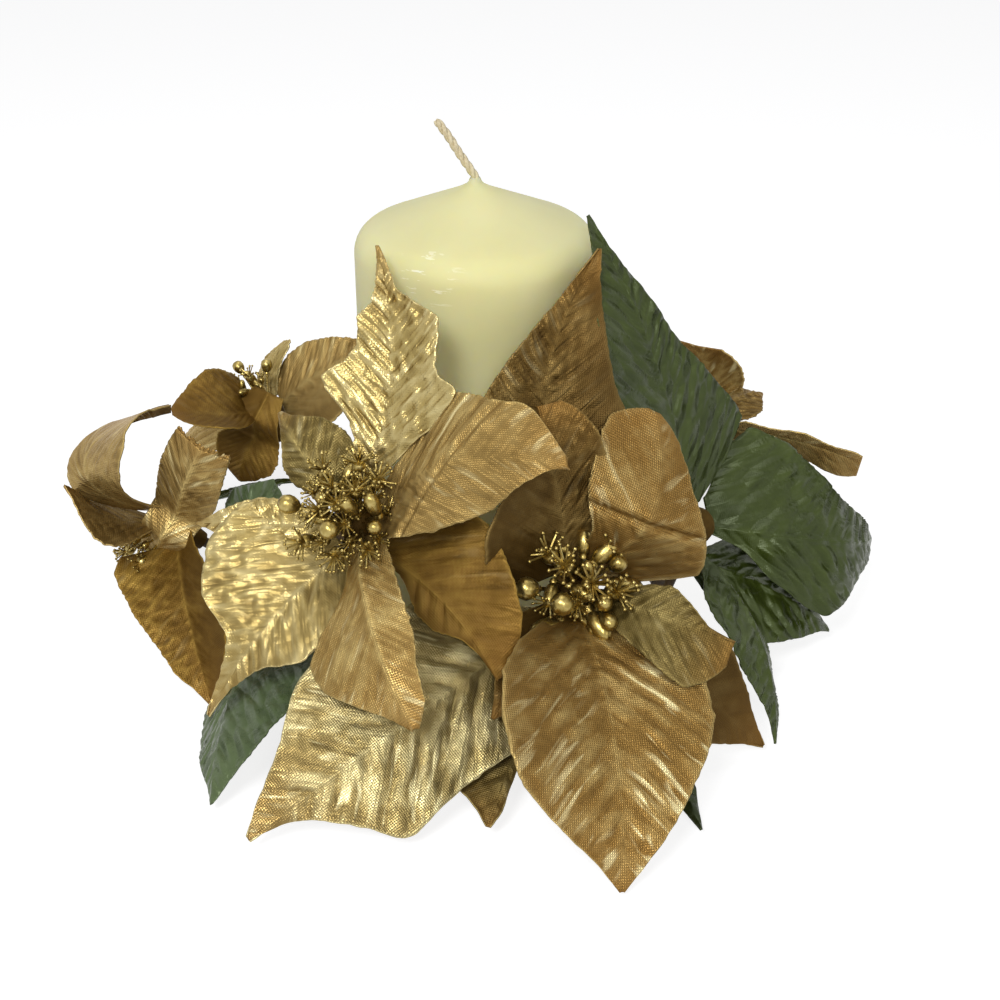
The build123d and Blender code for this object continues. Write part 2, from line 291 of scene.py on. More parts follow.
def gold_cloth(name, dark, middle, light, metal, gloss, weave, foil, painted_highlight_strength):
    """A lame finish. Both maps are in centimetres on the flat cloth, and the tone holds height,
    share of the length, nearness to the edge and gloss, which also sets painted shade and painted highlight."""
    made, tree, shader = new_material(name)
    cloth, veins, place, (height, along, rim), shine = cloth_inputs(tree)
    patches = noise(tree, place, 90.0, 3.0, 0.6)
    # Colour from random patches and from height: painted shade in the pressed-down places, painted highlight
    # on the raised ones.
    level = calc(tree, "ADD", calc(tree, "MULTIPLY", patches, 0.45), calc(tree, "MULTIPLY", height, 0.55))
    colour = ramp(tree, level, ((0.28, dark), (0.50, middle), (0.72, light)))
    # Less gloss also darkens the colour towards the dark one, as painted shade, and roughens it.
    matt_and_painted_shade = calc(tree, "SUBTRACT", 0.70, calc(tree, "MULTIPLY", shine, 0.70))
    colour = blend_colour(tree, matt_and_painted_shade, colour, dark)
    threads = calc(tree, "MULTIPLY", wave(tree, cloth, WEAVE_PITCH, "X"), wave(tree, cloth, WEAVE_PITCH, "Y"))
    speckle = calc(tree, "MULTIPLY", threads, 0.6 * weave)
    colour = blend_colour(tree, speckle, colour, dark)
    tip = calc(tree, "MULTIPLY", calc(tree, "POWER", along, 7.0), TIP_SHARE)
    colour = blend_colour(tree, tip, colour, TIP_BROWN)
    # Painted highlight: pale gold streaks along the side veins where the piece is glossy and away from its
    # rim.
    flow = noise(tree, stretched(tree, veins, (1.0, 0.34, 1.0)), 2.5, 2.0, 0.5, 0.5)
    wear_and_painted_highlight = map_range(tree, flow, 0.55, 0.72, curve="SMOOTHSTEP")
    bright = calc(tree, "MULTIPLY", calc(tree, "MULTIPLY", wear_and_painted_highlight, calc(tree, "POWER", shine, 2.0)), painted_highlight_strength)
    bright = calc(tree, "MULTIPLY", bright, map_range(tree, rim, 0.05, 0.32, curve="SMOOTHSTEP"))
    colour = blend_colour(tree, bright, colour, PAINTED_HIGHLIGHT_GOLD)
    edge = calc(tree, "MULTIPLY", calc(tree, "POWER", rim, 40.0), 0.7)
    colour = blend_colour(tree, edge, colour, light)
    feed(tree, colour, shader.inputs["Base Color"])
    shader.inputs["Metallic"].default_value = metal
    shader.inputs["Specular IOR Level"].default_value = 0.30
    shader.inputs["Specular Tint"].default_value = (1.0, 0.78, 0.42, 1)
    rough = calc(tree, "ADD", gloss - 0.09, calc(tree, "MULTIPLY", noise(tree, place, 240.0, 2.0), 0.18))
    rough = calc(tree, "ADD", rough, calc(tree, "MULTIPLY", matt_and_painted_shade, 0.25))
    rough = calc(tree, "SUBTRACT", rough, calc(tree, "MULTIPLY", bright, 0.08))
    feed(tree, rough, shader.inputs["Roughness"])
    pleats = noise(tree, stretched(tree, veins, (1.0, 0.36, 1.0)), 3.4, 1.0, 0.5, 0.8)
    scales = calc(tree, "MULTIPLY", cells(tree, cloth, 2.8, 0.3), 0.55)
    wrinkle = calc(tree, "MULTIPLY", calc(tree, "SUBTRACT", pleats, scales), shine)
    relief = bump(tree, wrinkle, foil, 0.0030)
    feed(tree, bump(tree, threads, weave, 0.00018, relief), shader.inputs["Normal"])
    return made


# Name, dark, middle and light colour, then metal, gloss, weave, foil wrinkles and painted highlight streaks.
GOLDS = (
    ("foil", (0.12, 0.072, 0.017), (0.37, 0.28, 0.1), (0.6, 0.5, 0.24), 0.64, 0.27, 0.25, 0.42, 0.4),
    ("satin", (0.05, 0.034, 0.01), (0.235, 0.178, 0.066), (0.66, 0.58, 0.3), 0.66, 0.24, 0.55, 0.18, 0.6),
    ("lame", (0.12, 0.066, 0.016), (0.29, 0.187, 0.057), (0.52, 0.39, 0.15), 0.55, 0.27, 0.75, 0.15, 0.4),
    ("tan", (0.1, 0.059, 0.014), (0.3, 0.196, 0.062), (0.5, 0.37, 0.14), 0.45, 0.33, 0.45, 0.3, 0.55),
    ("bronze", (0.095, 0.05, 0.011), (0.225, 0.13, 0.033), (0.5, 0.37, 0.14), 0.58, 0.24, 0.8, 0.2, 0.75),
    ("khaki", (0.042, 0.029, 0.007), (0.115, 0.083, 0.023), (0.34, 0.265, 0.095), 0.45, 0.3, 0.5, 0.4, 0.3),
    # The brown finish is gold cloth darkened with painted shade; the amber finish's orange is painted light
    # shining through the thin cloth.
    ("brown", (0.028, 0.013, 0.002), (0.105, 0.06, 0.013), (0.28, 0.188, 0.06), 0.45, 0.32, 0.4, 0.5, 0.15),
    ("amber", (0.046, 0.021, 0.002), (0.165, 0.088, 0.013), (0.4, 0.25, 0.05), 0.35, 0.38, 0.4, 0.35, 0.1),
    ("reverse", (0.055, 0.03, 0.006), (0.16, 0.098, 0.028), (0.28, 0.19, 0.066), 0.3, 0.48, 0.5, 0.2, 0.0),
)
FINISHES = {name: gold_cloth("gold_" + name, *recipe) for name, *recipe in GOLDS}
print("gold finishes:", sorted(FINISHES))

# %% [markdown]
# ## Green cloth
# The leaves are polyester satin, dyed through and heat-pressed with a net of veins. They are dark,
# with a cool sheen where they turn to the light; a pale grey-green sheen is painted on the raised
# parts and in patches.

# %% Green finishes
def green_cloth(name, dark, middle, painted_sheen, painted_sheen_share):
    made, tree, shader = new_material(name)
    cloth, veins, place, (height, _, _), _ = cloth_inputs(tree)
    patches = noise(tree, place, 55.0, 3.0, 0.6)
    # Colour from random patches and from height: painted shade low down and a painted sheen on the raised
    # parts.
    level = calc(tree, "ADD", calc(tree, "MULTIPLY", patches, 0.6), calc(tree, "MULTIPLY", height, 0.4))
    colour = ramp(tree, level, ((0.25, dark), (0.58, middle), (1.0, painted_sheen)))
    # Patches of painted sheen.
    painted_sheen_patches = calc(tree, "MULTIPLY", calc(tree, "POWER", noise(tree, place, 30.0, 4.0, 0.7), 2.0), painted_sheen_share)
    colour = blend_colour(tree, painted_sheen_patches, colour, painted_sheen)
    feed(tree, colour, shader.inputs["Base Color"])
    rough = calc(tree, "ADD", 0.20, calc(tree, "MULTIPLY", noise(tree, place, 160.0, 2.0), 0.18))
    feed(tree, rough, shader.inputs["Roughness"])
    shader.inputs["Specular IOR Level"].default_value = 0.42
    shader.inputs["Specular Tint"].default_value = (0.80, 0.92, 0.60, 1)
    net = cells(tree, stretched(tree, veins, (1.0, 0.85, 1.0)), 1.9, 0.25)
    relief = bump(tree, calc(tree, "SUBTRACT", 1.0, net), 0.75, 0.0032)
    threads = calc(tree, "ADD", wave(tree, cloth, 0.05, "X"), wave(tree, cloth, 0.05, "Y"))
    feed(tree, bump(tree, threads, 0.20, 0.0001, relief), shader.inputs["Normal"])
    return made


# Name, dark and middle colour, the colour of the painted sheen, and how much of it there is.
GREENS = (
    ("green", (0.008, 0.013, 0.001), (0.034, 0.048, 0.006), (0.12, 0.15, 0.035), 0.16),
    ("painted_sheen", (0.012, 0.028, 0.006), (0.046, 0.075, 0.018), (0.25, 0.30, 0.18), 0.7),
    ("under", (0.005, 0.008, 0.001), (0.016, 0.022, 0.004), (0.06, 0.08, 0.03), 0.2),
)
for name, *recipe in GREENS:
    FINISHES[name] = green_cloth("leaf_" + name, *recipe)
print("green finishes:", [name for name, *_ in GREENS])

# %% [markdown]
# ## Outlines
# The bracts in view hardly share an outline, because each is folded and turned its own way. A few rows
# of half widths, for the two sides of the rib, say each of them. Most of those behind are a plain oval.

# %% Outlines of the cloth pieces
# Each row: share of the length from the foot, then the half width on the minus side and on the plus side.
OVATE = ((0, .24, .24), (.12, .46, .46), (.28, .82, .82), (.45, 1, 1), (.62, .90, .90), (.78, .54, .54),
         (.90, .22, .22), (1, .02, .02))
LEAF = ((0, .08, .08), (.12, .44, .44), (.28, .90, .90), (.42, 1, 1), (.60, .86, .86), (.78, .50, .50),
        (.90, .20, .20), (1, .02, .02))
BLUNT_END = ((0, .12, .12), (.15, .45, .45), (.32, .90, .90), (.55, 1, 1), (.75, .95, .95),
             (.90, .80, .80), (1, .62, .62))
STAR = ((0, .10, .10), (.12, .26, .30), (.24, .37, .60), (.31, .54, .85), (.41, .86, 1.08),
        (.455, .93, 1.10), (.48, .96, .84), (.54, .64, .73), (.60, .51, .75), (.71, .47, .80),
        (.73, .42, .78), (.76, .25, .54), (.82, .17, .18), (.91, .09, .08), (1, .02, .02))
FLAPPED = ((0, .15, .30), (.12, .30, .50), (.24, .44, .66), (.37, .66, .76), (.52, .86, .75),
           (.63, .78, .66), (.72, .70, .48), (.80, .67, .33), (.90, .67, .14), (.94, .50, .06),
           (.98, .24, .03), (1, .10, .02))
LOPSIDED = ((0, .15, .05), (.14, .60, .05), (.31, 1.1, .14), (.48, 1.12, .36), (.60, .98, .36),
            (.75, .86, .12), (.88, .71, .04), (.95, .49, .03), (1, .05, .02))
FAN = ((0, .16, .14), (.11, .36, .18), (.23, .42, .26), (.36, .46, .48), (.46, .48, .86),
       (.54, .48, 1.08), (.62, .47, 1.05), (.70, .44, .94), (.79, .38, .68), (.92, .28, .23),
       (1, .05, .03))
MITTEN = ((0, .20, .80), (.07, .40, 1.25), (.17, .55, 1.34), (.39, .72, 1.30), (.53, .66, 1.05),
          (.60, .50, .86), (.65, .33, .32), (.73, .20, .22), (.83, .07, .14), (.97, .03, .05),
          (1, .02, .02))
EARED = ((0, .15, .30), (.20, .40, .85), (.40, .60, 1.0), (.55, .55, .92), (.68, .34, .76),
         (.80, .20, .46), (.90, .10, .20), (1, .04, .05))
SWALLOW = ((0, .12, .12), (.14, .50, .50), (.30, .85, .92), (.48, .83, 1.0), (.59, .86, 1.0),
           (.66, .92, .96), (.70, .87, .90), (.75, .61, .74), (.80, .40, .57), (.84, .23, .47),
           (.90, .08, .31), (.96, .03, .16), (1, .02, .04))
LOBED = ((0, .10, .30), (.25, .20, 1.15), (.58, .16, 1.20), (.80, .14, .96), (.87, .15, .73),
         (.93, .14, .35), (1, .03, .05))
LEANING = ((0, .10, .30), (.12, .36, .85), (.28, .80, 1.30), (.41, .95, 1.42), (.50, 1.08, 1.32),
           (.56, .92, 1.16), (.68, .60, .88), (.83, .22, .52), (.92, .10, .25), (1, .02, .03))
RIDGED = ((0, 1.6, .30), (.12, 2.5, .60), (.25, 2.8, .90), (.40, 2.7, 1.24), (.55, 2.0, 1.55),
          (.66, 1.0, 1.65), (.77, .30, 1.58), (.86, .10, 1.41), (.95, .05, 1.10), (1, .02, .70))
FLAT_TOP = ((0, .12, .50), (.10, .30, .70), (.28, .50, 1.12), (.40, .75, 1.0), (.50, .90, .85),
            (.58, .92, .72), (.72, .91, .48), (.80, .85, .40), (.89, .72, .32), (.95, .45, .22),
            (1, .10, .06))
SQUARE = ((0, .10, .15), (.20, .20, .36), (.40, .42, .58), (.55, .50, .73), (.70, .30, .90),
          (.83, .08, .98), (.93, .03, .75), (1, .02, .42))
HEART = ((0, .12, .12), (.10, .50, .45), (.19, .77, .75), (.33, .98, 1.02), (.49, 1.0, 1.10),
         (.60, .88, 1.07), (.70, .72, .99), (.79, .56, .76), (.86, .40, .53), (.93, .22, .25),
         (1, .02, .02))
WING = ((0, .10, .15), (.08, .70, .75), (.18, 1.15, 1.12), (.29, 1.25, .94), (.41, 1.15, .72),
        (.51, 1.0, .50), (.66, .75, .30), (.79, .50, .17), (.90, .22, .05), (1, .02, .02))
DRAPED = ((0, .40, .10), (.10, 1.30, .25), (.20, 1.70, .65), (.36, 1.50, 1.0), (.45, 1.15, 1.12),
          (.57, .75, .88), (.70, .50, .52), (.82, .30, .28), (.92, .12, .12), (1, .02, .02))
SIDELONG = ((0, .20, .10), (.12, .80, .44), (.28, 1.35, .90), (.42, 1.50, 1.0), (.60, 1.35, .86),
            (.78, .80, .50), (.90, .30, .20), (1, .02, .02))
FLARED = ((0, .15, .15), (.20, .42, .48), (.45, .52, .42), (.70, .58, .38), (.88, .68, .38),
          (.95, .64, .36), (1, .52, .30))
RIBBON = ((0, .25, .25), (.15, .50, .60), (.35, .70, 1.3), (.60, .75, 1.7), (.85, .65, 1.4),
          (1, .55, .90))
STRIP = ((0, .45, .35), (.20, .56, .58), (.40, .62, .68), (.63, .62, .68), (.84, .62, .60), (1, .58, .52))
FUNNEL = ((0, .42, .90), (.10, .48, 1.02), (.20, .56, .96), (.31, .70, .84), (.45, .85, .72),
          (.60, .90, .58), (.77, .75, .40), (.90, .40, .18), (1, .03, .04))
TONGUE = ((0, .30, .34), (.15, .50, .58), (.40, .66, .72), (.65, .62, .60), (.85, .36, .34),
          (1, .03, .03))
CUPPED = ((0, .40, .80), (.20, .58, 1.30), (.40, .74, 1.40), (.58, .84, 1.30), (.75, .76, .95),
          (.87, .60, .58), (.95, .42, .30), (1, .15, .08))
SADDLE = ((0, .54, .60), (.12, .60, 1.0), (.27, .70, 1.25), (.45, .72, 1.15), (.62, .56, .66),
          (.80, .30, .38), (.92, .12, .15), (1, .03, .03))
print("outlines ready; the plain one has", len(OVATE), "rows")

# %% [markdown]
# ## Where the flowers sit
# Every bract grows from the cup on its flower's stem, and a low leaf from the stem itself, so the foot
# follows from the flower's hub and the tip. These rules are the solid model's own, which keeps the looks
# and the solids together.

# %% Flower heads
# Each head: bearing, distance from the wax and height of its hub, then the bearing and elevation it faces.
# Lengths are in millimetres and angles in degrees; a bearing of 0 is the front.
MM = 0.001
CANDLE_RADIUS = 37.5
HOOP_RADIUS = 64.0
STEM_HEIGHT = 10.05
STEM_LEAD = 5
CUP_LENGTH = 11
CUP_REACH = 6.4
CUP_TAPER = 0.28
STEM_REACH = 2.2
HEADS = {
    "front_left": (-27, 37, 69, -25, 34),
    "front_right": (22, 38, 48, 17, 33),
    "left": (-82, 63, 38, -72, 6),
    "back_left": (-125, 56, 48, -109, 40),
    "back": (177, 43, 60, 176, 38),
    "back_right": (127, 63, 40, 140, 30),
    "right_spray": (67, 38, 47, 66, 30),
    "left_spray": (-54, 37, 28, -54, 30),
}


def ring_point(bearing, radius, height):
    turn = math.radians(bearing)
    return Vector((radius * math.sin(turn), -radius * math.cos(turn), height))


def facing(bearing, elevation):
    lift = math.radians(elevation)
    return ring_point(bearing, math.cos(lift), math.sin(lift))


def hub_of(head):
    bearing, standoff, height = HEADS[head][:3]
    return ring_point(bearing, CANDLE_RADIUS + standoff, height)


def rise_of(head):
    return (hub_of(head) - ring_point(HEADS[head][0] - STEM_LEAD, HOOP_RADIUS, STEM_HEIGHT)).normalized()


def bract_frame(head, tip, roll, drop):
    """Foot, tip, normal and across of one bract in millimetres, as the solid model places them."""
    rise = rise_of(head)
    seat = hub_of(head) - rise * drop
    end = ring_point(tip[0], CANDLE_RADIUS + tip[1], tip[2])
    reach = (end - seat).normalized()
    climb, slant = reach.dot(rise), reach.cross(rise).length
    if drop > CUP_LENGTH:
        start = STEM_REACH / slant
    elif drop == 0 and climb >= 0:
        start = CUP_REACH
    else:
        start = (CUP_REACH - CUP_TAPER * drop) / (slant - CUP_TAPER * climb)
    axis = facing(*HEADS[head][3:5])
    flat = (axis - reach * axis.dot(reach)).normalized()
    turn = math.radians(roll)
    normal = flat * math.cos(turn) + reach.cross(flat) * math.sin(turn)
    return seat + reach * start, end, normal, reach.cross(normal)


print("flower heads:", list(HEADS))

# %% [markdown]
# ## Cutting and bending a bract
# Each bract starts as a flat grid, one square per millimetre or so. It is cut to its outline by pulling
# the rows in, then bent like the solid it stands for: a bow along the rib, a fold across it. After that
# come the things a press and a hand leave in cloth: quilted side veins, a raised midrib, crumples, a
# slanting crease, a wavy rim and a frayed, uneven cut. A hooded foot reaches back over the flower's cup.
# The grid is shaped in code, as clay would be, because no single operator folds cloth this way; Solidify
# gives it its thickness.

# %% Outline and ripples
FULL_TURN = 6.283
SIDE_STEPS = np.linspace(0, 1, 201)
EASING = 7


def outline_sides(cut):
    """Half widths along the minus and the plus side, with the corners of the rows eased."""
    table = np.array(cut)
    sides = []
    for column in (1, 2):
        line = np.interp(SIDE_STEPS, table[:, 0], table[:, column])
        padded = np.pad(line, EASING // 2, mode="edge")
        even = np.convolve(padded, np.ones(EASING) / EASING, mode="valid")
        sides.append(np.where(SIDE_STEPS > 0.98, line, even))
    return sides


def ripples(x, y, seed, shortest, longest, count):
    """A smooth uneven surface between -1 and 1: a few waves that run in mixed directions."""
    dice = np.random.default_rng(seed)
    total = np.zeros_like(x)
    for _ in range(count):
        turn = dice.uniform(0, math.pi)
        length = dice.uniform(shortest, longest)
        phase = dice.uniform(0, FULL_TURN)
        total += np.sin(FULL_TURN * (x * math.cos(turn) + y * math.sin(turn)) / length + phase)
    return total / count


print("outline and ripple helpers ready")

# %% Embossing and crease
VEIN_SLANT = 0.95
RIB_WIDTH = 0.9
CREASE_RAMP = 15.5
GROOVE_DEPTH = 1.3
GROOVE_PLACE = 1.6
GROOVE_WIDTH = 1.2
# Past a crease the flap gets less gloss and a darker colour, which is painted shade.
FAR_GLOSS_AND_PAINTED_SHADE = 0.72
FAR_RELIEF = 0.4
# The broken veins of the two sides take their shifts from two parts of one list.
SHIFTS = 200
PLUS_START = 60
MINUS_START = 80


def embossing(x, y, u, v, length, seed, quilt, side_veins, crumple, shine, fade, rib, grain):
    """Height of the pressed and crumpled relief, the run of the side veins, and the gloss, which the finishes
    also turn into painted shade and painted highlight.
    """
    vein_step = length / side_veins
    phase = y - VEIN_SLANT * np.abs(x) + 1.3 * ripples(x, y, seed + 3, 18, 45, 4)
    cushion = np.abs(np.sin(math.pi * phase / vein_step)) ** 0.7 - 0.6
    shifts = np.random.default_rng(seed + 50).uniform(0, FULL_TURN, SHIFTS)
    number = np.floor(phase / vein_step).astype(int) + PLUS_START + MINUS_START * (x < 0)
    broken = 0.62 + 0.38 * np.sin(FULL_TURN * np.abs(x) * 1.3 / 15 + shifts[number])
    arc = np.sin(math.pi * np.clip(np.abs(u) * 0.92 + 0.06, 0, 1))
    away = np.sqrt(np.clip(arc, 0, 1)) * broken * np.clip((1 - v) * 6, 0, 1) * np.clip(v * 8, 0, 1)
    away = away * (0.75 + 0.5 * ripples(x, y, seed + 4, 10, 30, 4))
    spine = np.exp(-((x / RIB_WIDTH) ** 2)) * (1 - v) ** 0.5
    along_veins = ripples(phase, 0.36 * np.abs(x), seed, 3.4 * grain, 7 * grain, 9)
    all_ways = ripples(x, y, seed + 5, 4.5 * grain, 9 * grain, 9)
    pleats = 1 - 2 * np.abs(along_veins * 1.6) ** 0.7
    dimples = 1 - 2 * np.abs(all_ways * 1.6) ** 0.7
    folds = np.where(x < 0, pleats, 0.35 * pleats + 0.65 * dimples)
    # Gloss across and along the piece; the finishes paint shade where it is low and highlight streaks where
    # it is high.
    gleam_and_painted_light = np.interp(u, (-1, 0, 1), shine) * np.interp(v, (0, 1), fade)
    ends = np.clip(v * 6, 0, 1) * np.clip((1.02 - v) * 5, 0, 1)
    return quilt * cushion * away + rib * spine + crumple * gleam_and_painted_light * folds * ends, phase, gleam_and_painted_light


def crease_moves(x, y, width, length, crease):
    """How a slanting fold moves each point: up, across and along, and which points lie past it."""
    (u0, v0), (u1, v1), angle, ridge = crease
    ax, ay = u0 * width / 2, v0 * length
    bx, by = u1 * width / 2, v1 * length
    run = math.hypot(bx - ax, by - ay)
    nx, ny = (by - ay) / run, -(bx - ax) / run
    past = (x - ax) * nx + (y - ay) * ny
    beyond = np.maximum(past, 0)
    turn = math.radians(angle)
    up = ridge * np.clip(1 + past / CREASE_RAMP, 0, 1) - beyond * math.sin(turn)
    up = up - GROOVE_DEPTH * np.exp(-((past + GROOVE_PLACE) / GROOVE_WIDTH) ** 2)
    shorter = beyond * (1 - math.cos(turn))
    return up, -nx * shorter, -ny * shorter, past > 0


print("embossing and crease helpers ready")

# %% Maps and thickness
CLOTH_THICKNESS = 0.0005
# The minus side reads the vein pattern this much further along, so that the sides differ.
SIDE_OFFSET = 170
CENTIMETRES = 0.1


def store_maps(mesh, x, y, u, v, phase, level, gleam_and_painted_light):
    """The flat cloth and its veins as UV maps in centimetres, and the tone of each point."""
    corner = np.empty(len(mesh.loops), dtype=np.int32)
    mesh.loops.foreach_get("vertex_index", corner)
    flat_map = mesh.uv_layers.active
    flat_map.name = "cloth"
    flat_map.data.foreach_set("uv", np.column_stack((x[corner], y[corner])).ravel() * CENTIMETRES)
    vein_map = mesh.uv_layers.new(name="veins")
    minus_side = np.repeat(x[corner].reshape(-1, 4).mean(axis=1) < 0, 4)
    veins = np.column_stack((phase[corner] + SIDE_OFFSET * minus_side, np.abs(x)[corner]))
    vein_map.data.foreach_set("uv", veins.ravel() * CENTIMETRES)
    tone = mesh.attributes.new("tone", "FLOAT_COLOR", "POINT")
    tone.data.foreach_set("color", np.column_stack((level, v, np.abs(u), np.clip(gleam_and_painted_light, 0, 1))).ravel())


def thicken(piece, finish, back):
    """Gives the sheet its thickness and a finish on each side."""
    piece.data.materials.append(FINISHES[finish])
    piece.data.materials.append(FINISHES[back])
    bpy.ops.object.modifier_add(type="SOLIDIFY")
    skin = piece.modifiers[-1]
    skin.thickness = CLOTH_THICKNESS
    skin.offset = 0.0
    skin.material_offset = 1
    bpy.ops.object.modifier_apply(modifier=skin.name)
    bpy.ops.object.shade_smooth()


print("map and thickness helpers ready")

# %% One cloth piece
TABLE_GAP = 0.0003
LEAST_HALF_WIDTH = 0.25
NOTCHES = 61
FRAY_START = 0.96
RUFFLE_LENGTH = 23
HOOD_SHARE = 0.2
HOOD_START = 4
HOOD_LIFT = 7


def cloth_piece(name, head, tip, width, bulge=6, fold=-8, roll=0, sway=0, drop=0, cut=OVATE, finish="tan",
                back="reverse", quilt=0.55, side_veins=9, crumple=0.45, billow=1.2, ruffle=0.7, jag=0.15,
                arch=1.0, crease=None, shine=(1, 1, 1), fade=(1, 1), fray=0.0, rib=0.45, grain=1.0,
                hood=0.0, seed=1, nodes=None, slot="gold_cloth", columns=44, rows=90):
    foot, end, normal, across = bract_frame(head, tip, roll, drop)
    length = (end - foot).length
    bpy.ops.object.select_all(action="DESELECT")
    bpy.ops.mesh.primitive_grid_add(x_subdivisions=columns, y_subdivisions=rows, size=2)
    piece = bpy.context.object
    piece.name = "cloth_" + name
    mesh = piece.data
    raw = np.empty(len(mesh.vertices) * 3)
    mesh.vertices.foreach_get("co", raw)
    u = raw[0::3].copy()
    v = (raw[1::3] + 1) / 2

    # The cut
    minus, plus = outline_sides(cut)
    dice = np.random.default_rng(seed + 100)
    notch = [np.interp(v, np.linspace(0, 1, NOTCHES), dice.normal(0, 1, NOTCHES)) for _ in (0, 1)]
    half = np.where(u < 0, np.interp(v, SIDE_STEPS, minus), np.interp(v, SIDE_STEPS, plus)) * width / 2
    half = half + jag * np.where(u < 0, notch[0], notch[1]) * np.clip(half / 6, 0, 1) * (v > 0.1)
    x = u * np.maximum(half, LEAST_HALF_WIDTH)
    y = v * length - hood * np.clip(1 - v / HOOD_SHARE, 0, 1)

    # The relief, the billows, the wavy rim and the hooded foot
    relief, phase, gleam_and_painted_light = embossing(x, y, u, v, length, seed, quilt, side_veins, crumple, shine, fade,
                                     rib, grain)
    shape = billow * ripples(x, y, seed + 7, 28, 60, 4) * v
    wavy = np.sin(FULL_TURN * y / RUFFLE_LENGTH + seed)
    shape = shape + ruffle * np.abs(u) ** 3 * wavy * np.clip(v * 4, 0, 1)
    threads = np.abs(dice.normal(0, 1, columns + 1))[np.rint((u + 1) / 2 * columns).astype(int)]
    y = y - fray * threads * (v > FRAY_START)
    over = np.clip((HOOD_START - y) / HOOD_LIFT, 0, 1) * (hood > 0)
    shape = shape + HOOD_LIFT * over * over * (3 - 2 * over)
    slide = advance = 0.0
    if crease:
        up, slide, advance, far = crease_moves(x, y, width, length, crease)
        shape = shape + up
        # The flap past the crease: less gloss, and painted shade.
        gleam_and_painted_light = np.where(far, FAR_GLOSS_AND_PAINTED_SHADE * gleam_and_painted_light, gleam_and_painted_light)
        relief = np.where(far, FAR_RELIEF * relief, relief)

    # The bow, the fold and the place in the ring
    bow = np.clip(4 * v * (1 - v), 0, 1) ** arch
    tilt = math.radians(fold)
    rise = bulge * bow + np.abs(x) * math.sin(tilt) + relief + shape
    shift = x * math.cos(tilt) + sway * bow + slide
    reach = (end - foot) / length
    place = np.array(foot) + np.outer(y + advance, reach) + np.outer(shift, across) + np.outer(rise, normal)
    place = place * MM
    place[:, 2] = np.maximum(place[:, 2], TABLE_GAP)
    mesh.vertices.foreach_set("co", place.ravel())
    # The height, which the finishes turn into painted shade low down and painted highlight high up.
    level = np.clip(0.5 + 0.45 * relief / max(quilt + crumple, 0.3), 0, 1)
    store_maps(mesh, x, y, u, v, phase, level, gleam_and_painted_light)

    thicken(piece, finish, back)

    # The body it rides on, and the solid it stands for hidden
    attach(piece, "ring")
    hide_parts(nodes or name)


print("cloth piece helper ready")

# %% [markdown]
# ## The front left flower
# Its upright bract stands against the candle and is crumpled all over; two large ones lie to the left
# and the front, and the one to the right is folded back along a slanting crease.

# %% Front left bracts
def flower(head, seed):
    """A cutter for one flower: it takes the number, tip, width, bulge, fold and shape of a bract."""
    def bract(number, *place, **shape):
        cloth_piece(f"{head}_bract_{number}", head, *place, seed=seed + number, **shape)
    return bract


bract = flower("front_left", 10)
bract(1, (-43, 4, 140), 42, 3, 12, sway=9, cut=STAR, finish="foil", quilt=0.7, side_veins=10, crumple=0.7,
      grain=1.15, jag=0.2, columns=56, rows=110)
bract(2, (15, 58, 98), 48, 4, 0, roll=-4, sway=-8, finish="tan", quilt=0.5, crumple=0.35,
      crease=((0.68, 0.22), (-0.63, 0.80), 38, 5), rib=0.0, cut=FLAPPED, billow=0.4, columns=56, rows=110)
bract(3, (-7, 89, 38), 44, 10, -12, cut=FAN, finish="lame", quilt=0.3, crumple=0.2)
bract(4, (-54, 34, 92), 28, 5, -8, cut=EARED, finish="khaki", quilt=0.2, crumple=0.2)
bract(5, (4, 65, 38), 44, 6, 2, roll=-8, sway=-5, drop=7, cut=LOPSIDED, finish="amber", quilt=0.7,
      crumple=0.5, shine=(0.75, 0.4, 0.0))
bract(6, (-39, 84, 20), 48, 8, 6, drop=5, cut=MITTEN, finish="foil", quilt=0.35, crumple=0.6, grain=1.3,
      shine=(0.55, 0.7, 0.85), columns=56, rows=110)
bract(7, (-57, 62, 61.5), 15, 4, -6, drop=2, finish="foil", quilt=0.5, crumple=0.5)
print("front left flower: 7 bracts")

# %% [markdown]
# ## The front right flower
# Its lowest bract lies nearly flat towards the eye, so its weave shows; the tall one behind is crumpled
# and darkened to brown with painted shade.

# %% Front right bracts
bract = flower("front_right", 20)
bract(1, (53, 8, 138), 36, 2, 8, sway=-13, cut=LEANING, finish="brown", quilt=0.9, crumple=0.6,
      shine=(1, 0.8, 0.1))
bract(2, (16, 28, 104), 19, 4, 10, cut=RIDGED, finish="brown", quilt=0.5, crumple=0.5,
      shine=(0.1, 0.5, 0.7))
bract(3, (42, 43, 100), 44, 9, -8, sway=8, cut=FLAT_TOP, finish="bronze", quilt=0.8, crumple=0.3,
      crease=((1.0, 0.52), (-1.0, 0.44), 22, 2), fade=(0.6, 0.85))
bract(4, (38, 82, 45), 36, 6, 8, cut=SQUARE, finish="khaki", quilt=0.7, crumple=0.4,
      shine=(0.6, 0.6, 0.6))
bract(5, (15, 116, 2), 60, 12, 7, roll=-5, cut=HEART, finish="bronze", quilt=1.3, side_veins=11,
      crumple=0.2, billow=0.8, ruffle=0.4, shine=(1, 0.9, 0.55), columns=60, rows=120)
bract(6, (3, 68, 27), 25, 5, 10, finish="brown", shine=(0.4, 0.4, 0.4))
bract(7, (45, 84, 3), 36, 10, 6, drop=7, finish="brown", quilt=0.5, shine=(0.15, 0.1, 0.25))
bract(8, (-25, 107, 5), 58, 8, 0, roll=12, drop=9, cut=SWALLOW, finish="satin", quilt=1.7, side_veins=11,
      crumple=0.3, columns=60, rows=120)
